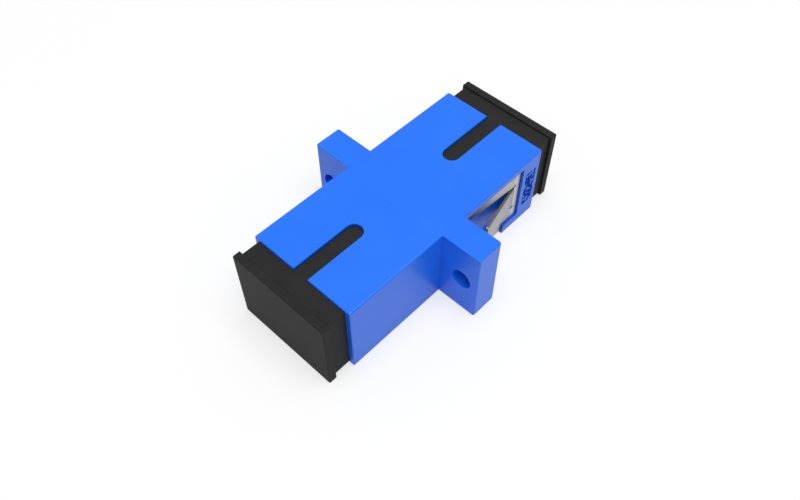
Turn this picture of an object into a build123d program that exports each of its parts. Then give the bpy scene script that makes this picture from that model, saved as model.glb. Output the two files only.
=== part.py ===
from build123d import *
import os

# Flanged simplex adapter that joins two SC fibre plugs end to end.
# Millimetres. The origin is on the optical axis, in the middle of the flange.
# Y runs along the optical axis, the front port at -Y and the clip half at +Y.
# Z points up, towards the keyways, and X runs across, towards the marked ear.

# Ports, sized for an SC plug of 9.0 by 7.4
port_width = 9.1
port_height = 7.5
port_corner = 0.3
port_lead_in = 0.25
port_reach = 14.0  # from the middle of the flange to the mouth of either port
keyway_width = 1.9
keyway_length = 7.85  # from the mouth to the tip of the slot

# Outer housing, two halves that meet in the middle of the flange
side_wall = 1.95
top_wall = 0.85
long_edge_round = 0.2
mouth_edge_round = 0.12
slot_edge = 0.05
slot_edge_angle = 45.0

# Flange ears
flange_thickness = 3.25
screw_from_side = 2.7  # from the side of the body to the screw's axis
screw_hole_diameter = 2.3
ear_rim = 0.85  # material left outside the screw hole
ear_edge_round = 0.2
ear_rim_round = 0.12
marked_corner_round = 0.35  # the one ear corner that is visibly rounded

# Pins that line the two halves up before they are welded
pin_diameter = 1.2
pin_length = 0.8
pin_clearance = 0.05
pin_rise = 3.0  # height of a pin's axis above or below the optical axis

# Sleeve holders: one moulding, used twice, back to back
plate_thickness = 1.2
plate_lap_across = 0.85  # how far the plate reaches behind the port's side wall
plate_lap_up = 0.25
plate_corner = 0.4
plate_clearance = 0.05
barrel_wall = 0.75
barrel_lip = 0.7
barrel_edge = 0.25
ferrule_clearance = 0.18  # round a ferrule, at the lip of the barrel
ferrule_lead_in = 0.2
latch_thickness = 0.8
latch_width = 2.9
latch_reach = 9.6  # from the middle of the flange to the tip of a hook
latch_wall_gap = 0.45  # room for a hook to spring outwards
hook_depth = 0.55
hook_length = 1.3
hook_flat = 0.35
latch_root_round = 0.3
latch_relief_depth = 0.3
latch_relief_clearance = 0.5

# Split alignment sleeve
ferrule_diameter = 2.5
sleeve_wall = 0.35
sleeve_length = 11.4
sleeve_slot = 0.5
sleeve_clearance = 0.05
sleeve_end_play = 0.1
sleeve_edge = 0.08

# Dust caps
plug_clearance = 0.1
plug_wall = 1.0
plug_corner = 0.35
plug_depth = 7.9  # from the mouth of the port to the end of the plug
cap_end_wall = 1.5
key_clearance = 0.1
notch_clearance = 0.3
neck_length = 2.1
neck_inset_across = 0.61
neck_inset_up = 0.3  # also from the top of the housing down to the key
lip_thickness = 0.88
lip_over_across = 0.29  # how far the lip stands out from the neck
lip_over_up = 0.23
cap_edge_round = 0.08
cap_front_round = 0.1

# Panel clip, one folded sheet, and the seat for it in the rear half
sheet = 0.3
clip_gap = 0.03
clip_edge_gap = 0.1
leg_depth = 0.3  # from the side of the body to the face of the leg
seat_rim = 0.83  # side wall left above the seat
seat_rail = 1.2  # side wall left below it
seat_length = 9.57  # from the flange to the far wall of the seat
saddle_length = 7.15  # the part of the seat that is open at the bottom
base_depth = 0.03  # from the underside of the body to the face of the clip
seat_corner = 0.2
rail_end_round = 0.2
clip_bend = 0.08
leg_corner = 0.2
wing_root = 0.85  # from the far edge of the leg to the bend of the wing
wing_bend = 0.4  # radius of the inner face
wing_angle = 14.0
wing_reach = 6.2  # from the bend to the free end, along the body
wing_width = 2.7
wing_tip_round = 0.4
window_root_width = 3.4
window_tip_width = 5.15
relief_hole = 0.4  # diameter, at the ends of the cuts beside the bend
relief_past_bend = 0.12
wing_slit = 1.1

# Sizes that follow from those above
body_width = port_width + 2 * side_wall
body_height = port_height + 2 * top_wall
ear_reach = screw_from_side + screw_hole_diameter / 2 + ear_rim
flange_width = body_width + 2 * ear_reach
screw_pitch = body_width + 2 * screw_from_side
half_flange = flange_thickness / 2
sleeve_diameter = ferrule_diameter + 2 * sleeve_wall
holder_bore = sleeve_diameter + 2 * sleeve_clearance
barrel_diameter = holder_bore + 2 * barrel_wall
barrel_bore_depth = sleeve_length / 2 + sleeve_end_play
barrel_reach = barrel_bore_depth + barrel_lip
plate_width = port_width + 2 * plate_lap_across
plate_height = port_height + 2 * plate_lap_up
latch_outer = port_width / 2 - latch_wall_gap
latch_inner = latch_outer - latch_thickness
plug_width = port_width - 2 * plug_clearance
plug_height = port_height - 2 * plug_clearance
plug_end = port_reach - plug_depth
neck_width = body_width - 2 * neck_inset_across
neck_height = body_height - 2 * neck_inset_up
lip_width = neck_width + 2 * lip_over_across
lip_height = neck_height + 2 * lip_over_up
cap_face = port_reach + neck_length + lip_thickness

# Each port's plane lies in the middle of the flange: x across, y up, z out through the mouth
front_port = Plane(origin=(0, 0, 0), x_dir=(1, 0, 0), z_dir=(0, -1, 0))
rear_port = Plane(origin=(0, 0, 0), x_dir=(-1, 0, 0), z_dir=(0, 1, 0))


def top_plane(port, height):
    """A level plane whose x runs out through the port."""
    return Plane(origin=(0, 0, height), x_dir=port.z_dir, z_dir=(0, 0, 1))


def outward(port):
    """The axis that runs out through the port."""
    return Axis((0, 0, 0), port.z_dir)


def make_housing_half(port, corner_round):
    """One half of the housing, from the middle of the flange to the mouth of its port."""
    with BuildPart() as half:
        # Flange, its outline seen from above
        with BuildSketch(top_plane(port, -body_height / 2)):
            Rectangle(half_flange, flange_width, align=(Align.MIN, Align.CENTER))
            fillet(vertices().group_by(Axis.X)[-1].sort_by(Axis.Y)[0], corner_round)
            fillet(vertices().group_by(Axis.X)[-1].sort_by(Axis.Y)[-1], ear_edge_round)
        extrude(amount=body_height)
        parting = half.faces().sort_by(outward(port))[0]
        fillet(half.faces().filter_by(Axis.Z).edges() - parting.edges(), ear_rim_round)
        # Body
        with BuildSketch(port):
            RectangleRounded(body_width, body_height, long_edge_round)
        extrude(amount=port_reach)
        mouth = half.faces().sort_by(outward(port))[-1]
        fillet(mouth.edges(), mouth_edge_round)
        # Port, with a lead-in at its mouth
        with BuildSketch(port):
            RectangleRounded(port_width, port_height, port_corner)
        extrude(amount=port_reach, mode=Mode.SUBTRACT)
        mouth = half.faces().sort_by(outward(port))[-1]
        chamfer(mouth.inner_wires()[0].edges(), port_lead_in)
        # Pocket that holds the plate of the sleeve holder
        with BuildSketch(port):
            RectangleRounded(
                plate_width + 2 * plate_clearance,
                plate_height + 2 * plate_clearance,
                plate_corner + plate_clearance,
            )
        extrude(amount=plate_thickness + plate_clearance, mode=Mode.SUBTRACT)
        # Grooves that give the latch hooks room to spring outwards
        with BuildSketch(port):
            Rectangle(port_width + 2 * latch_relief_depth, latch_width + 2 * latch_relief_clearance)
        extrude(amount=latch_reach + latch_relief_clearance, mode=Mode.SUBTRACT)
        # Keyway, with a chamfer round its upper edge
        with BuildSketch(top_plane(port, body_height / 2)):
            with Locations((port_reach, 0)):
                SlotOverall(2 * keyway_length, keyway_width)
        extrude(amount=-body_height / 2, mode=Mode.SUBTRACT)
        with BuildSketch(top_plane(port, body_height / 2)):
            with Locations((port_reach, 0)):
                SlotOverall(2 * (keyway_length + slot_edge), keyway_width + 2 * slot_edge)
        extrude(amount=-slot_edge, taper=slot_edge_angle, mode=Mode.SUBTRACT)
        # Screw holes
        with Locations(port.offset(half_flange)):
            with GridLocations(screw_pitch, screw_pitch, 2, 1):
                Hole(screw_hole_diameter / 2, half_flange)
    return half


def pin_places(port):
    """The places of the two locating pins, on one diagonal of the flange."""
    across = port.x_dir.X * (body_width / 2 + pin_diameter / 2)
    return [(across, pin_rise), (-across, -pin_rise)]


# Front half, with the locating pins
with BuildPart() as housing_front:
    add(make_housing_half(front_port, ear_edge_round).part)
    with BuildSketch(front_port):
        with Locations(*pin_places(front_port)):
            Circle(pin_diameter / 2)
    extrude(amount=-pin_length)
housing_front.part.label = "housing_front"

# Rear half, with the pins' sockets and the seat of the panel clip
seat_near = half_flange
seat_far = seat_near + seat_length
saddle_far = seat_near + saddle_length
seat_top = body_height / 2 - seat_rim
rail_top = seat_rail - body_height / 2
leg_face = body_width / 2 - leg_depth
seat_half_width = leg_face - sheet - clip_gap
base_face = base_depth - body_height / 2
saddle_floor = base_face + sheet + clip_gap

with BuildPart() as housing_rear:
    add(make_housing_half(rear_port, marked_corner_round).part)
    with BuildSketch(rear_port):
        with Locations(*pin_places(rear_port)):
            Circle(pin_diameter / 2 + pin_clearance)
    extrude(amount=pin_length + pin_clearance, mode=Mode.SUBTRACT)
    # Side recesses, each open downwards as far as the lower rail
    for side in (-1, 1):
        with BuildSketch(Plane.YZ.offset(side * body_width / 2)):
            with Locations((seat_near, seat_top)):
                Rectangle(seat_length, seat_top - rail_top, align=(Align.MIN, Align.MAX))
            with Locations((seat_near, seat_top)):
                Rectangle(saddle_length, seat_top + body_height / 2, align=(Align.MIN, Align.MAX))
            fillet(vertices().group_by(Axis.X)[-1], seat_corner)
            fillet(vertices().sort_by_distance((saddle_far, rail_top))[0], rail_end_round)
        extrude(amount=side * (seat_half_width - body_width / 2), mode=Mode.SUBTRACT)
    # Saddle across the underside
    with BuildSketch(Plane.XY.offset(-body_height / 2)):
        with Locations((0, seat_near)):
            Rectangle(body_width, saddle_length, align=(Align.CENTER, Align.MIN))
    extrude(amount=saddle_floor + body_height / 2, mode=Mode.SUBTRACT)
    saddle_edges = housing_rear.edges().filter_by(Axis.Y).filter_by_position(
        Axis.Z, saddle_floor - clip_gap / 2, saddle_floor + clip_gap / 2
    )
    fillet(saddle_edges, clip_bend - clip_gap)
housing_rear.part.label = "housing_rear"


def make_sleeve_holder(port):
    """Plate, half of the sleeve's barrel and two latch hooks, in one moulding."""
    deck = Plane(origin=(0, 0, 0), x_dir=port.x_dir, z_dir=(0, 0, -1))
    hook_back = latch_reach - hook_length
    with BuildPart() as holder:
        with BuildSketch(port):
            RectangleRounded(plate_width, plate_height, plate_corner)
        extrude(amount=plate_thickness)
        # Barrel, with a lip that keeps the sleeve in
        with BuildSketch(port):
            Circle(barrel_diameter / 2)
        extrude(amount=barrel_reach)
        chamfer(holder.faces().sort_by(outward(port))[-1].edges(), barrel_edge)
        with BuildSketch(port):
            Circle(holder_bore / 2)
        extrude(amount=barrel_bore_depth, mode=Mode.SUBTRACT)
        with BuildSketch(port):
            Circle(ferrule_diameter / 2 + ferrule_clearance)
        extrude(amount=barrel_reach, mode=Mode.SUBTRACT)
        chamfer(holder.faces().sort_by(outward(port))[-1].inner_wires()[0].edges(), ferrule_lead_in)
        # Latch hooks
        with BuildSketch(deck):
            with BuildLine():
                Polyline(
                    (latch_inner, 0),
                    (latch_inner, hook_back),
                    (latch_inner - hook_depth, hook_back),
                    (latch_inner - hook_depth, hook_back + hook_flat),
                    (latch_inner + hook_depth / 2, latch_reach),
                    (latch_outer, latch_reach),
                    (latch_outer, 0),
                    close=True,
                )
            make_face()
            mirror(about=Plane.YZ)
        extrude(amount=latch_width / 2, both=True)
        upright = holder.edges().filter_by(Axis.Z)
        roots = upright.filter_by(lambda edge: abs(edge.center().X) < plate_width / 2 - plate_corner)
        fillet(roots.group_by(outward(port))[0], latch_root_round)
    return holder


# The two sleeve holders, back to back
sleeve_holder_front = make_sleeve_holder(front_port)
sleeve_holder_front.part.label = "sleeve_holder_front"
sleeve_holder_rear = make_sleeve_holder(rear_port)
sleeve_holder_rear.part.label = "sleeve_holder_rear"

# Split sleeve, its slot at the bottom
with BuildPart() as split_sleeve:
    with BuildSketch(Plane.XZ):
        Circle(sleeve_diameter / 2)
        Circle(ferrule_diameter / 2, mode=Mode.SUBTRACT)
    extrude(amount=sleeve_length / 2, both=True)
    chamfer(split_sleeve.edges().filter_by(GeomType.CIRCLE), sleeve_edge)
    with BuildSketch(Plane.XY):
        Rectangle(sleeve_slot, sleeve_length)
    extrude(amount=-sleeve_diameter, mode=Mode.SUBTRACT)
split_sleeve.part.label = "split_sleeve"


def make_dust_cap(port):
    """A cap whose hollow plug clears the barrel and the hooks, with a key in the keyway."""
    with BuildPart() as cap:
        # Lip, its outline seen from above
        with BuildSketch(top_plane(port, -lip_height / 2)):
            with Locations((cap_face, 0)):
                Rectangle(lip_thickness, lip_width, align=(Align.MAX, Align.CENTER))
            fillet(vertices().group_by(Axis.X)[-1], cap_front_round)
        extrude(amount=lip_height)
        fillet(cap.faces().filter_by(Axis.Z).edges(), cap_edge_round)
        # Neck, and the plug that fills the port
        with BuildSketch(port.offset(port_reach)):
            RectangleRounded(neck_width, neck_height, cap_edge_round)
        extrude(amount=neck_length)
        with BuildSketch(port.offset(plug_end)):
            RectangleRounded(plug_width, plug_height, plug_corner)
        extrude(amount=plug_depth)
        # Key, its rounded end following the tip of the keyway
        key_width = keyway_width - 2 * key_clearance
        key_length = keyway_length - keyway_width / 2
        with BuildSketch(top_plane(port, plug_height / 2 - plug_clearance)):
            with Locations((port_reach, 0)):
                Rectangle(key_length, key_width, align=(Align.MAX, Align.CENTER))
            with Locations((port_reach - key_length, 0)):
                Circle(key_width / 2)
        extrude(amount=(neck_height - plug_height) / 2 + plug_clearance)
        # Hollow, and the notches that clear the latch hooks
        with BuildSketch(port.offset(plug_end)):
            RectangleRounded(plug_width - 2 * plug_wall, plug_height - 2 * plug_wall, plug_corner)
        extrude(amount=cap_face - cap_end_wall - plug_end, mode=Mode.SUBTRACT)
        with BuildSketch(port.offset(plug_end)):
            Rectangle(port_width, latch_width + 2 * notch_clearance)
        extrude(amount=latch_reach + notch_clearance - plug_end, mode=Mode.SUBTRACT)
    return cap


# The two dust caps
dust_cap_front = make_dust_cap(front_port)
dust_cap_front.part.label = "dust_cap_front"
dust_cap_rear = make_dust_cap(rear_port)
dust_cap_rear.part.label = "dust_cap_rear"

# Panel clip: a saddle under the body, two legs, and a sprung wing on each leg
leg_near = seat_near + clip_edge_gap
leg_far = seat_far - clip_edge_gap
base_far = saddle_far - clip_edge_gap
leg_top = seat_top - clip_edge_gap
leg_foot = rail_top + clip_edge_gap
bend_y = leg_far - wing_root
wing_tip_y = bend_y - wing_reach
leg_back = leg_face - sheet

# Wing of the +X leg, bent out of the leg at its root and free at its tip
with BuildPart() as wing:
    with BuildLine(Plane.XY.offset(-body_height / 2)):
        Line((leg_back, bend_y + wing_root / 2), (leg_back, bend_y))
        PolarLine((leg_back, bend_y), wing_reach, wing_angle - 90, length_mode=LengthMode.VERTICAL)
        fillet(vertices().sort_by_distance((leg_back, bend_y, -body_height / 2))[0], wing_bend)
    make_brake_formed(thickness=sheet, station_widths=body_height, side=Side.LEFT)
    with BuildSketch(Plane.YZ):
        with Locations((wing_tip_y, 0)):
            Rectangle(wing_reach + wing_root / 2, wing_width, align=(Align.MIN, Align.CENTER))
        fillet(vertices().group_by(Axis.X)[0], wing_tip_round)
    extrude(amount=body_width, both=True, mode=Mode.INTERSECT)

with BuildPart() as panel_clip:
    with BuildLine(Plane.XZ.offset(-leg_near)):
        FilletPolyline(
            (-leg_back, leg_top),
            (-leg_back, base_face + sheet),
            (leg_back, base_face + sheet),
            (leg_back, leg_top),
            radius=clip_bend,
        )
    make_brake_formed(thickness=sheet, station_widths=leg_far - leg_near, side=Side.LEFT)
    # Outline from the side: the saddle ends where the lower rail of the seat begins
    with BuildSketch(Plane.YZ):
        with Locations((leg_near, leg_top)):
            Rectangle(leg_far - leg_near, leg_top - leg_foot, align=(Align.MIN, Align.MAX))
            Rectangle(base_far - leg_near, leg_top + body_height / 2, align=(Align.MIN, Align.MAX))
        fillet(vertices().sort_by_distance((base_far, leg_foot))[0], rail_end_round + clip_edge_gap)
        fillet(vertices().group_by(Axis.X)[-1] + vertices().group_by(Axis.Y)[-1], leg_corner)
    extrude(amount=body_width, both=True, mode=Mode.INTERSECT)
    # Windows that the wings are cut from
    with BuildSketch(Plane.YZ):
        Polygon(
            (wing_tip_y - wing_slit, window_tip_width / 2),
            (bend_y, window_root_width / 2),
            (bend_y, -window_root_width / 2),
            (wing_tip_y - wing_slit, -window_tip_width / 2),
            align=None,
        )
    extrude(amount=body_width, both=True, mode=Mode.SUBTRACT)
    add(wing.part)
    mirror(wing.part, about=Plane.YZ)
    # Relief holes at the ends of the cuts beside each bend
    with BuildSketch(Plane.YZ):
        with Locations((bend_y + relief_past_bend, 0)):
            with GridLocations(relief_hole, window_root_width, 1, 2):
                Circle(relief_hole / 2)
    extrude(amount=body_width, both=True, mode=Mode.SUBTRACT)
panel_clip.part.label = "panel_clip"

pieces = (
    housing_front,
    housing_rear,
    sleeve_holder_front,
    sleeve_holder_rear,
    split_sleeve,
    dust_cap_front,
    dust_cap_rear,
    panel_clip,
)

os.makedirs("parts", exist_ok=True)
for piece in pieces:
    export_step(piece.part, f"parts/{piece.part.label}.step")
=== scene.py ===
from math import cos, radians, sin

import bpy
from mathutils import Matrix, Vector


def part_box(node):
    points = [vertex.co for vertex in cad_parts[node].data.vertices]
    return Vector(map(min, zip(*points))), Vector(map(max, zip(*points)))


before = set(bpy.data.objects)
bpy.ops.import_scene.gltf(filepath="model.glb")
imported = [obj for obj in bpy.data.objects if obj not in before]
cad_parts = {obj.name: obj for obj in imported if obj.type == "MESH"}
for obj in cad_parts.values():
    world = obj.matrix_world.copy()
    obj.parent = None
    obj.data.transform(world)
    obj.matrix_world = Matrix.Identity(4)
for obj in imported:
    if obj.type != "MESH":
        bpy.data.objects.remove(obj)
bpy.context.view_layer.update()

MM = 0.001

# Places that the looks share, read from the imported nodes
floor_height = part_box("housing_rear")[0][2]
housing_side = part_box("dust_cap_rear")[1][0]  # the body's side lies just outside the cap's lip

# Camera, from the photograph
CAMERA_AZIMUTH = 43.477
CAMERA_ELEVATION = 52.762
CAMERA_PLACE = Vector((35.405, -38.020, 63.22)) * MM
CAMERA_LENS = 35.26
SENSOR_WIDTH = 36.0


class Link:
    """A shader socket. Arithmetic on it adds Math nodes, so a mask reads as a formula."""

    def __init__(self, paint, socket):
        self.paint = paint
        self.socket = socket

    def _math(self, operation, *values):
        return self.paint.node("ShaderNodeMath", {"operation": operation}, dict(enumerate(values)))

    def __add__(self, other):
        return self._math("ADD", self, other)

    def __radd__(self, other):
        return self._math("ADD", other, self)

    def __mul__(self, other):
        return self._math("MULTIPLY", self, other)

    def __rmul__(self, other):
        return self._math("MULTIPLY", other, self)

    def __gt__(self, other):
        return self._math("GREATER_THAN", self, other)

    def __lt__(self, other):
        return self._math("LESS_THAN", self, other)

    def __abs__(self):
        return self._math("ABSOLUTE", self)

    def between(self, low, high):
        """One from low to high, zero outside."""
        return (self > low) * (self < high)


class Paint:
    """The nodes of a material or world: every node is made by one method."""

    def __init__(self, name, kind=bpy.data.materials):
        self.owner = kind.new(name)
        self.owner.use_nodes = True
        self.tree = self.owner.node_tree
        self.tree.nodes.clear()
        self.place = self.node("ShaderNodeTexCoord", output="Object")

    def node(self, kind, settings=None, sockets=None, output=0):
        """Adds a node, sets it, fills or links its sockets and gives back one of its outputs."""
        made = self.tree.nodes.new(kind)
        for key, value in (settings or {}).items():
            setattr(made, key, value)
        for key, value in (sockets or {}).items():
            if isinstance(value, Link):
                self.tree.links.new(value.socket, made.inputs[key])
            else:
                made.inputs[key].default_value = value
        return Link(self, made.outputs[output] if made.outputs else None)

    def stretched(self, scale):
        """Object coordinates, scaled along each axis."""
        return self.node("ShaderNodeMapping", None, {"Vector": self.place, "Scale": scale}, "Vector")

    def along(self, axis):
        """The object coordinate along X, Y or Z, in metres."""
        return self.node("ShaderNodeSeparateXYZ", None, {"Vector": self.place}, axis)

    def noise(self, scale, detail=2.0, roughness=0.5, vector=None):
        """Noise from 0 to 1; scale is in waves per metre."""
        sockets = {"Scale": scale, "Detail": detail, "Roughness": roughness}
        sockets["Vector"] = vector or self.place
        return self.node("ShaderNodeTexNoise", {"noise_dimensions": "3D"}, sockets)

    def ramp(self, value, low, high):
        """Zero at low, one at high, straight between."""
        sockets = {"Value": value, "From Min": low, "From Max": high}
        return self.node("ShaderNodeMapRange", {"clamp": True}, sockets)

    def blend(self, factor, first, second):
        """Colour mixed from first to second."""
        return self.node("ShaderNodeMix", {"data_type": "RGBA"}, {0: factor, 6: first, 7: second}, 2)

    def bump(self, height, strength, distance):
        """A normal tilted by the height's slopes."""
        sockets = {"Height": height, "Strength": strength, "Distance": distance}
        return self.node("ShaderNodeBump", None, sockets, "Normal")

    def finish(self, grooves=None, **sockets):
        """Principled surface; an underscore in a name stands for a space in the socket's name.
        Grooves are a mask and a colour that shows there without any gloss, as painted shade of grooves that
        the mesh lacks."""
        named = {key.replace("_", " "): value for key, value in sockets.items()}
        surface = self.node("ShaderNodeBsdfPrincipled", None, named)
        if grooves:
            mask, colour = grooves
            dull = self.node("ShaderNodeBsdfDiffuse", None, {"Color": colour})
            surface = self.node("ShaderNodeMixShader", None, {0: mask, 1: surface, 2: dull})
        self.node("ShaderNodeOutputMaterial", None, {"Surface": surface})
        return self.owner


# Colours of the housing
BLUE = (0.004, 0.160, 0.93, 1.0)
BLUE_CLOUD = (0.006, 0.174, 0.96, 1.0)
SEAT_SHADE = (0.006, 0.05, 0.4, 1.0)
KEYWAY_SHADE = (0.009, 0.065, 0.3, 1.0)
STROKE_SHADE = (0.004, 0.05, 0.42, 1.0)

# Field of moulded strokes beside the clip's seat, on the +X side
# the strokes are real, their dark colour without gloss is painted shade of grooves that the mesh lacks
MARK_NEAR = 11.75 * MM
MARK_FAR = 13.4 * MM
MARK_LOW = -2.35 * MM
MARK_HIGH = 2.5 * MM
MARK_DEPTH = 0.3 * MM  # how far below the side's face the strokes are still painted

# Low walls round the clip's seat on both sides, from below the clip's face to just under the side's face
# these walls get painted shade, standing for the shade that falls into the seat
SEAT_DEEP = 6.1 * MM
SEAT_SHALLOW = 6.46 * MM
SEAT_NEAR = 2.0 * MM
SEAT_FAR = 11.3 * MM
SEAT_LOW = -4.4 * MM
SEAT_HIGH = 3.8 * MM

# Walls of the keyways, whose painted shade darkens from the top face downwards
KEYWAY_REACH = 1.02 * MM
KEYWAY_FLOOR = 3.8 * MM
KEYWAY_DARK = 4.35 * MM
KEYWAY_EDGE = 4.59 * MM


def moulded_mark(paint):
    """Mask of the mark: short unreadable strokes, wherever noise is high enough inside the field."""
    strokes = paint.noise(1.0, 1.0, 0.5, paint.stretched((0.0, 1900.0, 2100.0)))
    field = paint.along("Y").between(MARK_NEAR, MARK_FAR) * paint.along("Z").between(MARK_LOW, MARK_HIGH)
    side = paint.along("X") > housing_side - MARK_DEPTH
    return side * field * paint.ramp(strokes, 0.40, 0.45)


def keyway_wall_shade(paint):
    """Mask of the painted shade on the keyways' walls, zero at the top face."""
    height = paint.along("Z")
    depth = paint.ramp(height, KEYWAY_EDGE, KEYWAY_DARK) * (height > KEYWAY_FLOOR)
    return depth * (abs(paint.along("X")) < KEYWAY_REACH)


def seat_wall_shade(paint):
    """Mask of the painted shade on the walls between the clip and the side's face."""
    field = paint.along("Y").between(SEAT_NEAR, SEAT_FAR) * paint.along("Z").between(SEAT_LOW, SEAT_HIGH)
    return field * abs(paint.along("X")).between(SEAT_DEEP, SEAT_SHALLOW)


def housing_plastic():
    """Blue moulded plastic: faint flow clouds, a fine spark-eroded skin, painted shade in the recesses."""
    paint = Paint("blue_moulded_plastic")
    mark = moulded_mark(paint)
    clouds = paint.noise(180.0, 3.0)
    skin = paint.noise(5200.0, 2.0, 0.6)
    waves = paint.noise(420.0, 1.0)
    cloudy = paint.ramp(clouds, 0.3, 0.7)
    colour = paint.blend(cloudy, BLUE, BLUE_CLOUD)
    # painted shade on the walls of the clip's seat
    colour = paint.blend(0.6 * seat_wall_shade(paint), colour, SEAT_SHADE)
    # painted shade on the keyways' walls
    colour = paint.blend(0.55 * keyway_wall_shade(paint), colour, KEYWAY_SHADE)
    roughness = 0.29 + 0.06 * skin + 0.05 * clouds
    height = skin + 2.5 * waves
    # moulded strokes, coloured with painted groove shade
    return paint.finish((0.97 * mark, STROKE_SHADE), Base_Color=colour, Roughness=roughness,
                        Normal=paint.bump(height, 0.06, 0.04 * MM), Specular_IOR_Level=0.46)


# Colours of the caps
BLACK = (0.0195, 0.0195, 0.0192, 1.0)
SCUFFED_BLACK = (0.0245, 0.0243, 0.0238, 1.0)


def cap_plastic():
    """Black soft plastic: dull, with a slightly coarser grain and faint grey scuffs."""
    paint = Paint("black_cap_plastic")
    grain = paint.noise(6500.0, 3.0, 0.6)
    clouds = paint.noise(260.0, 3.0)
    scuffs = paint.ramp(clouds, 0.3, 0.75)
    colour = paint.blend(scuffs, BLACK, SCUFFED_BLACK)
    roughness = 0.5 + 0.1 * grain + 0.06 * clouds
    return paint.finish(Base_Color=colour, Roughness=roughness, Normal=paint.bump(grain, 0.12, 0.03 * MM),
                        Specular_IOR_Level=0.1)


# Colours of the clip
STEEL = (0.46, 0.445, 0.425, 1.0)
PALE_STEEL = (0.53, 0.515, 0.495, 1.0)
# painted highlight of the strip past the bend
PAINTED_HIGHLIGHT_PAST_BEND = (0.78, 0.79, 0.81, 1.0)
WING_SHADE = (0.34, 0.33, 0.325, 1.0)
CREASE_SHADE = (0.16, 0.155, 0.15, 1.0)
CUT_EDGE_SHADE = (0.2, 0.19, 0.175, 1.0)
FLANGE_PAINTED_SHADE = (0.035, 0.03, 0.035, 1.0)

# Wings of the clip, as both legs carry them
WING_HALF_WIDTH = 1.35 * MM
WING_BEND = 10.245 * MM
WING_TIP = 4.0 * MM
CREASE_HALF_WIDTH = 0.06 * MM
EDGE_SKIN = 0.02 * MM  # how far the painted shade and roughness of a cut edge reach into the faces beside it
FLANGE_SHADE_START = 2.9 * MM  # painted shade of the legs at the flange, standing for the shadowed floor that they mirror there; it fades out along them and downwards
FLANGE_SHADE_END = 6.6 * MM
FLANGE_SHADE_LOW = -4.0 * MM
FLANGE_SHADE_HIGH = -2.0 * MM


def rolled_steel():
    """Spring sheet: fine rolling lines along the fold, duller patches, painted shade on the wings, their
    creases and cut edges and on the legs by the flange, and a painted highlight past the bend.
    """
    paint = Paint("rolled_spring_steel")
    lines = paint.noise(1.0, 3.0, 0.6, paint.stretched((9000.0, 400.0, 9000.0)))
    patches = paint.noise(500.0, 3.0)
    off_middle = abs(paint.along("Z"))
    along_wing = paint.along("Y").between(WING_TIP, WING_BEND)
    wing = along_wing * (off_middle < WING_HALF_WIDTH)
    cut = along_wing * off_middle.between(WING_HALF_WIDTH - EDGE_SKIN, WING_HALF_WIDTH + EDGE_SKIN)
    crease = (off_middle < WING_HALF_WIDTH) * paint.along("Y").between(
        WING_BEND - CREASE_HALF_WIDTH, WING_BEND + CREASE_HALF_WIDTH)
    dull = paint.ramp(patches, 0.3, 0.7)
    colour = paint.blend(dull, STEEL, PALE_STEEL)
    # painted highlight: the strip past the bend is drawn paler
    colour = paint.blend(0.5 * (paint.along("Y") > WING_BEND), colour, PAINTED_HIGHLIGHT_PAST_BEND)
    # painted shade on the wings
    colour = paint.blend(0.35 * wing, colour, WING_SHADE)
    # painted shade in the creases at the wings' bends
    colour = paint.blend(0.7 * crease, colour, CREASE_SHADE)
    # painted shade on the wings' cut edges
    colour = paint.blend(0.85 * cut, colour, CUT_EDGE_SHADE)
    # painted shade of the legs near the flange
    flange_shade = (off_middle > WING_HALF_WIDTH + EDGE_SKIN) * paint.ramp(paint.along("Y"), FLANGE_SHADE_END, FLANGE_SHADE_START)
    flange_shade = flange_shade * paint.ramp(paint.along("Z"), FLANGE_SHADE_LOW, FLANGE_SHADE_HIGH)
    colour = paint.blend(0.95 * flange_shade, colour, FLANGE_PAINTED_SHADE)
    roughness = 0.4 + 0.14 * lines + 0.08 * patches + 0.25 * cut
    return paint.finish(Base_Color=colour, Metallic=1.0, Roughness=roughness,
                        Normal=paint.bump(lines, 0.08, 0.02 * MM))


# Colours of the holders and the sleeve
CREAM = (0.74, 0.72, 0.66, 1.0)
PALE_CREAM = (0.84, 0.82, 0.76, 1.0)
ZIRCONIA = (0.84, 0.83, 0.79, 1.0)
PALE_ZIRCONIA = (0.92, 0.91, 0.88, 1.0)


def holder_plastic():
    """Natural, slightly cloudy engineering plastic of the sleeve holders."""
    paint = Paint("natural_holder_plastic")
    clouds = paint.noise(300.0, 3.0)
    skin = paint.noise(6000.0, 2.0)
    colour = paint.blend(paint.ramp(clouds, 0.3, 0.7), CREAM, PALE_CREAM)
    return paint.finish(Base_Color=colour, Roughness=0.42 + 0.08 * skin,
                        Normal=paint.bump(skin, 0.08, 0.03 * MM), Subsurface_Weight=0.08,
                        Subsurface_Scale=0.4 * MM)


def sleeve_ceramic():
    """Ground zirconia: white, glossy, with very fine marks round the grinding direction."""
    paint = Paint("ground_zirconia")
    marks = paint.noise(1.0, 2.0, 0.5, paint.stretched((600.0, 14000.0, 600.0)))
    clouds = paint.noise(350.0, 2.0)
    colour = paint.blend(paint.ramp(clouds, 0.3, 0.7), ZIRCONIA, PALE_ZIRCONIA)
    return paint.finish(Base_Color=colour, Roughness=0.16 + 0.08 * marks,
                        Normal=paint.bump(marks, 0.05, 0.01 * MM), Coat_Weight=0.3 + 0.1 * clouds)


def dress(node, material):
    """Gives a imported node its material."""
    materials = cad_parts[node].data.materials
    materials.clear()
    materials.append(material)


blue = housing_plastic()
black = cap_plastic()
holder = holder_plastic()
for node, material in (
    ("housing_front", blue),
    ("housing_rear", blue),
    ("dust_cap_front", black),
    ("dust_cap_rear", black),
    ("panel_clip", rolled_steel()),
    ("sleeve_holder_front", holder),
    ("sleeve_holder_rear", holder),
    ("split_sleeve", sleeve_ceramic()),
):
    dress(node, material)


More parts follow.
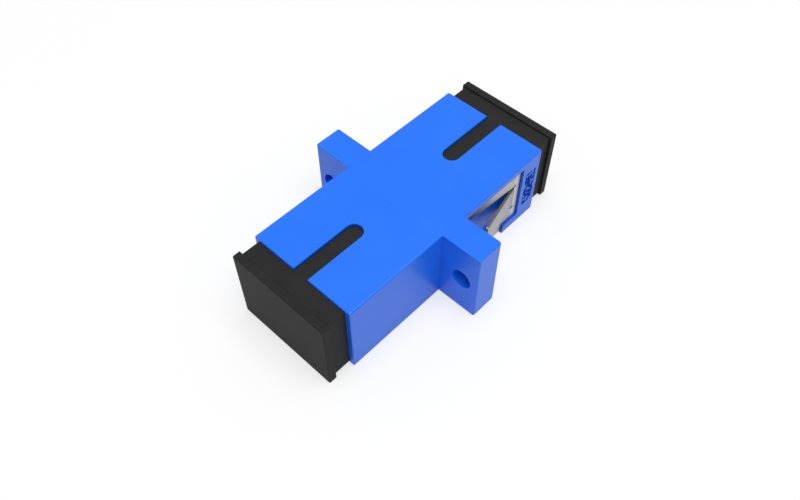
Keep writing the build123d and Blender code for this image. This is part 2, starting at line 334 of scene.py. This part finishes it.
# Floor, world, lamp and camera
WHITE = (1.0, 1.0, 1.0, 1.0)
FLOOR_WHITE = (0.97, 0.97, 0.97, 1.0)
FLOOR_SHADE = (0.6, 0.6, 0.6, 1.0)  # what diffuse rays see, so that less light comes back from the floor
FLOOR_REACH = 1.5
FLOOR_GLOW = 0.58  # share of plain white that the camera sees in the floor
MIRRORED_SHARE = 0.38  # part of that share which reflections see
SHADOW_REACH = 0.09  # beyond this distance the floor fades to plain white
FADE_END = 0.25


def seen_white(paint):
    """How far a ray sees plain white for the lit surroundings: the camera's fully, mirrored ones partly."""
    seen = paint.node("ShaderNodeLightPath", output="Is Camera Ray")
    for ray in ("Is Glossy Ray", "Is Transmission Ray"):
        seen = MIRRORED_SHARE * paint.node("ShaderNodeLightPath", output=ray) + seen
    return seen


def floor_sheet():
    """White sheet, which the camera sees mixed with plain white, so that its shadow stays light."""
    paint = Paint("pale_floor")
    diffuse_ray = paint.node("ShaderNodeLightPath", output="Is Diffuse Ray")
    shade = paint.blend(diffuse_ray, FLOOR_WHITE, FLOOR_SHADE)
    surface = paint.node("ShaderNodeBsdfDiffuse", None, {"Color": shade})
    glow = paint.node("ShaderNodeEmission", None, {"Color": WHITE, "Strength": 1.0})
    away = paint.node("ShaderNodeVectorMath", {"operation": "LENGTH"}, {0: paint.place}, "Value")
    white = FLOOR_GLOW + (1.0 - FLOOR_GLOW) * paint.ramp(away, SHADOW_REACH, FADE_END)
    mixed = paint.node("ShaderNodeMixShader", None, {0: white * seen_white(paint), 1: surface, 2: glow})
    paint.node("ShaderNodeOutputMaterial", None, {"Surface": mixed})
    return paint.owner


def add_floor():
    """A level sheet under the housing."""
    mesh = bpy.data.meshes.new("floor")
    signs = ((-1, -1), (1, -1), (1, 1), (-1, 1))
    corners = [(x * FLOOR_REACH, y * FLOOR_REACH, floor_height) for x, y in signs]
    mesh.from_pydata(corners, [], [(0, 1, 2, 3)])
    mesh.materials.append(floor_sheet())
    sheet = bpy.data.objects.new("floor", mesh)
    bpy.context.scene.collection.objects.link(sheet)


def add_world(strength):
    """Even white light, behind which the camera sees plain white."""
    paint = Paint("studio", bpy.data.worlds)
    level = (1.0 - strength) * seen_white(paint) + strength
    light = paint.node("ShaderNodeBackground", None, {"Color": WHITE, "Strength": level})
    paint.node("ShaderNodeOutputWorld", None, {"Surface": light})
    bpy.context.scene.world = paint.owner


def direction(azimuth, elevation):
    """Unit vector that points at a viewpoint."""
    turn, rise = radians(azimuth), radians(elevation)
    return Vector((sin(turn) * cos(rise), -cos(turn) * cos(rise), sin(rise)))


def put_up(name, data, place, back):
    """Puts a lamp or camera at a place, its back turned to the direction given."""
    made = bpy.data.objects.new(name, data)
    made.location = place
    made.rotation_euler = (-back).to_track_quat("-Z", "Y").to_euler()
    bpy.context.scene.collection.objects.link(made)
    return made


def add_lamp(name, azimuth, elevation, distance, size, watts):
    """A square soft lamp that looks at the adapter from an azimuth and elevation."""
    lamp = bpy.data.lights.new(name, "AREA")
    lamp.shape = "SQUARE"
    lamp.size = size
    lamp.energy = watts
    back = direction(azimuth, elevation)
    put_up(name, lamp, back * distance, back)


def add_camera():
    """The photograph's camera."""
    camera = bpy.data.cameras.new("photo_camera")
    camera.lens = CAMERA_LENS
    camera.sensor_width = SENSOR_WIDTH
    camera.clip_start = 0.001
    camera.clip_end = 10.0
    back = direction(CAMERA_AZIMUTH, CAMERA_ELEVATION)
    bpy.context.scene.camera = put_up("photo_camera", camera, CAMERA_PLACE, back)


add_floor()
add_world(strength=0.42)
add_lamp("key", azimuth=80.0, elevation=79.5, distance=0.6, size=0.5, watts=2.85)
add_camera()
bpy.context.scene.view_settings.view_transform = "Standard"
bpy.context.scene.cycles.diffuse_bounces = 2  # more would turn the blue shade too vivid
